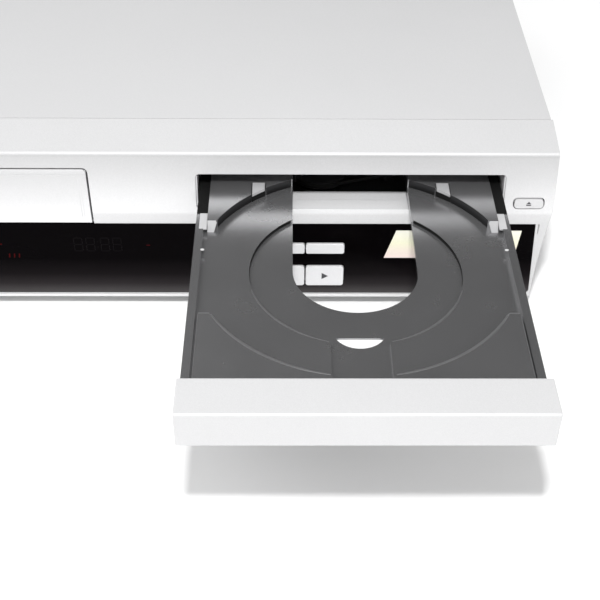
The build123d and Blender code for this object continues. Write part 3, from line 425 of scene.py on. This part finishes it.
def plate(bm, pts, front, back, taper=0.0):
    """Closed raised plate: pts in (x, z), front and back give y for a z; its front edge is drawn in by taper."""
    cx = sum(p[0] for p in pts) / len(pts)
    cz = sum(p[1] for p in pts) / len(pts)
    rings = []
    for k, f in ((0, back), (1, front)):
        row = []
        for x, z in pts:
            d = Vector((x - cx, z - cz))
            s = 1.0 - (taper / max(d.length, 1e-6)) * k
            xx, zz = cx + d.x * s, cz + d.y * s
            row.append(bm.verts.new((xx, f(zz), zz)))
        rings.append(row)
    n = len(pts)
    for i in range(n):
        bm.faces.new((rings[0][i], rings[0][(i + 1) % n], rings[1][(i + 1) % n], rings[1][i]))
    bm.faces.new(rings[1])
    bm.faces.new(rings[0][::-1])


def symbol(name, kind, x, z, s, face, body, mat=None):
    """A plain sign standing 0.06 mm proud of a key: s is its height in metres."""
    z = z + ZS
    bm = bmesh.new()
    front = lambda zz: face(zz) - 0.00006
    back = lambda zz: face(zz) + 0.00003
    h = s / 2

    def add(pts):
        plate(bm, [(x + a, z + b) for a, b in pts], front, back, 0.00002)

    if kind == "play":
        add([(-h * 0.75, -h), (h * 0.9, 0.0), (-h * 0.75, h)])
    elif kind == "stop":
        add([(-h * 0.8, -h * 0.8), (h * 0.8, -h * 0.8), (h * 0.8, h * 0.8), (-h * 0.8, h * 0.8)])
    elif kind == "pause":
        for a in (-h * 0.55, h * 0.55):
            add([(a - h * 0.25, -h * 0.9), (a + h * 0.25, -h * 0.9), (a + h * 0.25, h * 0.9), (a - h * 0.25, h * 0.9)])
    elif kind == "record":
        add([(h * 0.85 * cos(2 * pi * k / 24), h * 0.85 * sin(2 * pi * k / 24)) for k in range(24)])
    elif kind == "forward":
        for a in (-h * 0.8, h * 0.45):
            add([(a - h * 0.35, -h * 0.8), (a + h * 0.65, 0.0), (a - h * 0.35, h * 0.8)])
    elif kind == "rewind":
        for a in (h * 0.8, -h * 0.45):
            add([(a + h * 0.35, -h * 0.8), (a - h * 0.65, 0.0), (a + h * 0.35, h * 0.8)])
    elif kind == "eject":
        add([(-h * 0.95, -h * 0.15), (h * 0.95, -h * 0.15), (0.0, h * 0.9)])
        add([(-h * 0.95, -h * 0.8), (h * 0.95, -h * 0.8), (h * 0.95, -h * 0.42), (-h * 0.95, -h * 0.42)])
    elif kind == "power":
        n = 20
        outer = [(h * sin(2 * pi * (0.09 + 0.82 * k / n)), h * cos(2 * pi * (0.09 + 0.82 * k / n))) for k in range(n + 1)]
        inner = [(0.76 * a, 0.76 * b) for a, b in outer]
        for k in range(n):
            add([outer[k], outer[k + 1], inner[k + 1], inner[k]])
        add([(-h * 0.12, 0.0), (h * 0.12, 0.0), (h * 0.12, h * 1.05), (-h * 0.12, h * 1.05)])
    return piece(name, bm, mat or INK, body)


key_face = lambda z: face_y(z) - 0.0009
btn_face = lambda z: upper_face_y(z) - 0.00045
symbol("play_sign", "play", XT - 0.0101, 0.02205, 0.0034, key_face, "play_key_body")
symbol("pause_sign", "pause", XT - 0.0271, 0.02205, 0.0032, key_face, "pause_key_body")
symbol("stop_sign", "stop", XT - 0.0441, 0.02205, 0.0032, key_face, "stop_key_body")
symbol("power_sign", "power", -0.1935, 0.0370, 0.0030, key_face, "power_button_body")
symbol("eject_sign_disc", "eject", XT + 0.0747, 0.0594, 0.0022, btn_face, "open_close_button_body")
symbol("eject_sign_cassette", "eject", -0.2000, 0.0594, 0.0022, btn_face, "cassette_eject_button_body")


# ---- small pieces on the tray ------------------------------------------------------
def tray_point(u, v, w):
    return (XT + u / 1000.0, YS - 0.0522 + v / 1000.0, 0.0660 + ZS + w / 1000.0)


def slab(bm, pts, low, high, inset=0.12):
    """Closed piece over a polygon in (u, v), given in turn; low and high give w for a v, and the top is drawn in."""
    cu = sum(p[0] for p in pts) / len(pts)
    cv = sum(p[1] for p in pts) / len(pts)
    rings = []
    for f, k in ((low, 0.0), (lambda v: high(v) - 0.08, 0.0), (high, inset)):
        row = []
        for u, v in pts:
            d = max(1e-6, ((u - cu) ** 2 + (v - cv) ** 2) ** 0.5)
            q = 1.0 - k / d
            uu, vv = cu + (u - cu) * q, cv + (v - cv) * q
            row.append(bm.verts.new(tray_point(uu, vv, f(vv))))
        rings.append(row)
    n = len(pts)
    for a, b in ((0, 1), (1, 2)):
        for i in range(n):
            bm.faces.new((rings[a][i], rings[a][(i + 1) % n], rings[b][(i + 1) % n], rings[b][i]))
    bm.faces.new(rings[2])
    bm.faces.new(rings[0][::-1])


def level(w):
    return lambda v: w


def slope(v0, w0, v1, w1):
    return lambda v: w0 + (w1 - w0) * (min(max(v, v0), v1) - v0) / (v1 - v0)


for tag, s in (("left", -1), ("right", 1)):
    bm = bmesh.new()
    slab(bm, [(s * 58.45, 23.4), (s * 61.5, 23.4), (s * 61.5, 33.2), (s * 58.45, 33.2)], level(-1.9), slope(23.4, -1.08, 33.2, -0.88))
    piece("tray_pad_highlight_" + tag, bm, PAD_HIGHLIGHT, "tray")
    bm = bmesh.new()
    # painted shade: black strip on the rail where the dark inside of the opening shows
    slab(bm, [(s * 58.40, 33.25), (s * 62.85, 33.25), (s * 62.85, 91.5), (s * 58.40, 91.5)], level(-1.9), slope(33.25, -1.00, 35.0, -0.92))
    piece("tray_rail_shade_" + tag, bm, PIT_SHADE, "tray")
    bm = bmesh.new()
    ramp_top = slope(24.2, -3.72, 27.1, 0.08)
    slab(bm, [(s * 58.25, 24.25), (s * 55.6, 24.25), (s * 54.5, 26.6), (s * 54.9, 27.1), (s * 58.25, 27.1)],
         slope(24.2, -3.9, 27.1, -0.1), ramp_top, 0.05)
    piece("tray_land_end_" + tag, bm, FACET_HIGHLIGHT, "tray")
    # small pale oval on the rail: painted glint
    bm = bmesh.new()
    pts = [(s * 59.35 + 0.80 * cos(a), 9.95 + 0.55 * sin(a)) for a in [2 * pi * k / 16 for k in range(16)]]
    slab(bm, pts, level(-1.35), level(-1.05), 0.10)
    piece("tray_glint_tick_" + tag, bm, TICK_GLINT, "tray")


def wall_band(bm, r, a0, a1, low, high, t=0.12, n=64):
    """Thin band standing against a round wall of radius r, between two angles counted from the back."""
    ring = []
    for k in range(n + 1):
        a = radians(a0 + (a1 - a0) * k / n)
        row = []
        for rr, w in ((r - t, low), (r - 0.02, low), (r - 0.02, high), (r - t, high)):
            row.append(bm.verts.new(tray_point(rr * sin(a), rr * cos(a), w)))
        ring.append(row)
    for k in range(n):
        for j in range(4):
            bm.faces.new((ring[k][j], ring[k][(j + 1) % 4], ring[k + 1][(j + 1) % 4], ring[k + 1][j]))
    bm.faces.new(ring[0])
    bm.faces.new(ring[-1][::-1])


# painted shade: dark bands laid against the round recess walls
for tag, s in (("left", -1), ("right", 1)):
    bm = bmesh.new()
    wall_band(bm, 61.0, s * 23.9, s * 35.2, -3.78, -0.10)
    wall_band(bm, 61.0, s * 42.6, s * 62.8, -3.78, -0.10)
    piece("tray_wall_outer_" + tag, bm, WALL_SHADE, "tray")
    bm = bmesh.new()
    wall_band(bm, 41.0, s * 37.5, s * 100.0, -5.28, -3.86)
    piece("tray_wall_inner_" + tag, bm, PIT_SHADE, "tray")
    # sheet of painted shade filling the pocket under the hold tab
    bm = bmesh.new()
    edge = [(s * u, (60.75 ** 2 - u ** 2) ** 0.5) for u in (35.5, 36.9, 38.3, 39.7, 41.0)]
    slab(bm, edge + [(s * 41.0, 52.8), (s * 35.5, 52.8)], level(-3.76), level(-1.06), 0.05)
    piece("tray_pocket_shade_" + tag, bm, PIT_SHADE, "tray")


def bead(bm, line, w, half, h=0.07):
    """Low closed bead along a line of (u, v) points on the tray, half the given width to either side."""
    rows = []
    for k, (u, v) in enumerate(line):
        a, b = line[max(0, k - 1)], line[min(len(line) - 1, k + 1)]
        d = Vector((b[0] - a[0], b[1] - a[1])).normalized()
        nx, ny = -d.y, d.x
        hw = half[k] if isinstance(half, list) else half
        rows.append([bm.verts.new(tray_point(u + nx * hw * q, v + ny * hw * q, w + e))
                     for q, e in ((-1.0, -0.06), (-0.55, h), (0.55, h), (1.0, -0.06))])
    for k in range(len(rows) - 1):
        for j in range(4):
            bm.faces.new((rows[k][j], rows[k][(j + 1) % 4], rows[k + 1][(j + 1) % 4], rows[k + 1][j]))
    bm.faces.new(rows[0])
    bm.faces.new(rows[-1][::-1])


def arc(r, a0, a1, n=60):
    return [(r * sin(radians(a0 + (a1 - a0) * k / n)), r * cos(radians(a0 + (a1 - a0) * k / n))) for k in range(n + 1)]


def swell(n, most, least):
    return [least + (most - least) * sin(pi * k / n) for k in range(n + 1)]


def upright(bm, u, v0, v1, t, low, high):
    """Thin closed plate standing along v at u, t thick (towards plus or minus u)."""
    u0, u1 = sorted((u, u + t))
    ring = [[bm.verts.new(tray_point(a, b, w)) for a, b in ((u0, v0), (u1, v0), (u1, v1), (u0, v1))] for w in (low, high)]
    for k in range(4):
        bm.faces.new((ring[0][k], ring[0][(k + 1) % 4], ring[1][(k + 1) % 4], ring[1][k]))
    bm.faces.new(ring[1])
    bm.faces.new(ring[0][::-1])


# dark plates of painted shade on the side faces of the centre slot behind the recess, and of the pockets under the hold
# tabs
for tag, s in (("left", -1), ("right", 1)):
    bm = bmesh.new()
    upright(bm, s * 24.18, 55.9, 91.6, -s * 0.10, -6.9, -0.12)
    upright(bm, s * 35.32, 49.9, 52.9, s * 0.10, -3.7, -0.12)
    upright(bm, s * 41.18, 45.3, 52.9, -s * 0.10, -3.7, -0.12)
    piece("tray_slot_side_shade_" + tag, bm, WALL_SHADE, "tray")

# raised beads along the rims of the two recesses towards the lid, the ends of the front land and its long edges,
# lighter than the tray: painted highlight on the rounded edges
for tag, s in (("left", -1), ("right", 1)):
    bm = bmesh.new()
    bead(bm, arc(61.45, s * 118.6, s * 169.4), 0.0, swell(60, 0.62, 0.30))
    bead(bm, arc(41.35, s * 106.0, s * 164.0), -3.8, swell(60, 0.50, 0.20))
    bead(bm, [(s * 54.6, -28.65), (s * 58.6, -28.65)], 0.0, 0.28)
    bead(bm, [(s * 58.72, -29.3), (s * 58.72, -66.8)], 0.0, 0.14, 0.05)
    piece("tray_rim_highlight_" + tag, bm, RIM_HIGHLIGHT, "tray")

# inner faces of the tray opening's ends, seen beside the tray
for tag, s in (("left", -1), ("right", 1)):
    bm = bmesh.new()
    outline = [(upper_face_y(z / 1000.0 + ZS) + 0.0005, z / 1000.0 + ZS) for z in (57.9, 62.0, 66.5, 71.2)]
    outline += [(YS + 0.0155, 0.0706 + ZS), (YS + 0.0155, 0.0585 + ZS)]
    sides = []
    for q in (63.62, 64.22):
        sides.append([bm.verts.new((XT + s * q / 1000.0, y, z)) for y, z in outline])
    m = len(outline)
    for k in range(m):
        bm.faces.new((sides[0][k], sides[0][(k + 1) % m], sides[1][(k + 1) % m], sides[1][k]))
    bm.faces.new(sides[0])
    bm.faces.new(sides[1][::-1])
    piece("opening_cheek_" + tag, bm, CHEEK, "root")


# ---- marks behind the window, seen as faint lit segments ------------------------------
def lit(bm, x0, x1, z0, z1, lean=0.0):
    pts = [(x0, z0), (x1, z0), (x1 + lean, z1), (x0 + lean, z1)]
    plate(bm, [(a / 1000.0, b / 1000.0 + ZS) for a, b in pts], lambda zz: face_y(zz) - 0.00003, lambda zz: face_y(zz) + 0.00003, 0.00002)


bm = bmesh.new()
for x in (-16.6, -14.5, -12.4):
    lit(bm, x, x + 0.55, 31.2, 33.3, 0.25)
lit(bm, -22.5, -18.6, 38.0, 38.6)
lit(bm, 43.0, 44.6, 37.7, 38.1)
piece("display_marks", bm, RED, "root")


def digit(bm, x, z, w, h, on):
    t = 0.38
    segs = {"a": (x + t, x + w - t, z + h - t, z + h), "g": (x + t, x + w - t, z + h / 2 - t / 2, z + h / 2 + t / 2),
            "d": (x + t, x + w - t, z, z + t), "f": (x, x + t, z + h / 2 + t, z + h - t), "e": (x, x + t, z + t, z + h / 2 - t),
            "b": (x + w - t, x + w, z + h / 2 + t, z + h - t), "c": (x + w - t, x + w, z + t, z + h / 2 - t)}
    for k in on:
        lit(bm, *segs[k])


bm = bmesh.new()
for k, x in enumerate((12.0, 17.2, 23.4, 28.6)):
    digit(bm, x, 34.6, 3.9, 7.2, "abcdefg")
for z in (36.6, 39.4):
    lit(bm, 22.0, 22.5, z, z + 0.5)
piece("display_segments", bm, GHOST_GLOW, "root")

# ---- fine line near the right end of the cassette door ---------------------------------
bm = bmesh.new()
n = 10
for off, wd in ((0.0, 0.00040), (0.00105, 0.00025)):
    rows = []
    for k in range(n + 1):
        f = k / n
        zz = 0.0700 + ZS + (0.0528 - 0.0700) * f
        xa = 0.01665 + off + 0.00060 * f
        row = []
        for x, d in ((xa, 0.00003), (xa + wd, 0.00003), (xa + wd, 0.00010), (xa, 0.00010)):
            row.append(bm.verts.new((x, upper_face_y(zz) + d, zz)))
        rows.append(row)
    for k in range(n):
        for j in range(4):
            bm.faces.new((rows[k][j], rows[k][(j + 1) % 4], rows[k + 1][(j + 1) % 4], rows[k + 1][j]))
    bm.faces.new(rows[0])
    bm.faces.new(rows[-1][::-1])
LINE = surface("door_line", (0.50, 0.50, 0.505), rough=0.45, var=0.02, grain=0.05, soft=0.0)
piece("door_end_line", bm, LINE, "door")


# ---- floor, light ----------------------------------------------------------------
def stage():
    me = bpy.data.meshes.new("floor")
    s = 6.0
    me.from_pydata([(-s, -s, -0.0002), (s, -s, -0.0002), (s, s, -0.0002), (-s, s, -0.0002)], [], [(0, 1, 2, 3)])
    ob = bpy.data.objects.new("floor", me)
    scene.collection.objects.link(ob)
    m = bpy.data.materials.new("floor_white")
    nt, b = nodes_of(m)
    vec = scaled(nt, (1.0, 1.0, 1.0))
    n = noise(nt, vec, 6.0, 3.0)
    nt.links.new(ramp(nt, n, [(0.3, (0.86, 0.86, 0.86)), (0.7, (0.88, 0.88, 0.88))]), b.inputs["Base Color"])
    b.inputs["Roughness"].default_value = 0.9
    b.inputs["Specular IOR Level"].default_value = 0.1
    me.materials.append(m)


def area(name, loc, target, size, power, col=(1.0, 1.0, 1.0)):
    l = bpy.data.lights.new(name, "AREA")
    l.shape = "RECTANGLE"
    l.size, l.size_y = size
    l.energy = power
    l.color = col
    ob = bpy.data.objects.new(name, l)
    scene.collection.objects.link(ob)
    ob.location = loc
    d = Vector(target) - Vector(loc)
    ob.rotation_euler = d.to_track_quat("-Z", "Y").to_euler()


stage()
scene.view_settings.view_transform = "Standard"
scene.view_settings.look = "None"
w = bpy.data.worlds.new("studio")
scene.world = w
w.use_nodes = True
nt = w.node_tree
nt.nodes.clear()
wo = nt.nodes.new("ShaderNodeOutputWorld")
bg = nt.nodes.new("ShaderNodeBackground")
tc = nt.nodes.new("ShaderNodeTexCoord")
dot = nt.nodes.new("ShaderNodeVectorMath")
dot.operation = "DOT_PRODUCT"
dark = Vector((0.35, 0.68, 0.64)).normalized()
nt.links.new(tc.outputs["Generated"], dot.inputs[0])
dot.inputs[1].default_value = dark
mr = nt.nodes.new("ShaderNodeMapRange")
mr.interpolation_type = "SMOOTHSTEP"
for k, v in (("From Min", 0.64), ("From Max", 0.91), ("To Min", 1.0), ("To Max", 0.03)):
    mr.inputs[k].default_value = v
nt.links.new(dot.outputs["Value"], mr.inputs["Value"])
nt.links.new(mr.outputs["Result"], bg.inputs["Color"])
bg.inputs["Strength"].default_value = 1.18
nt.links.new(bg.outputs[0], wo.inputs[0])
area("key", (0.091, -0.472, 0.716), (0.10, -0.10, 0.05), (0.055, 0.055), 5.2)
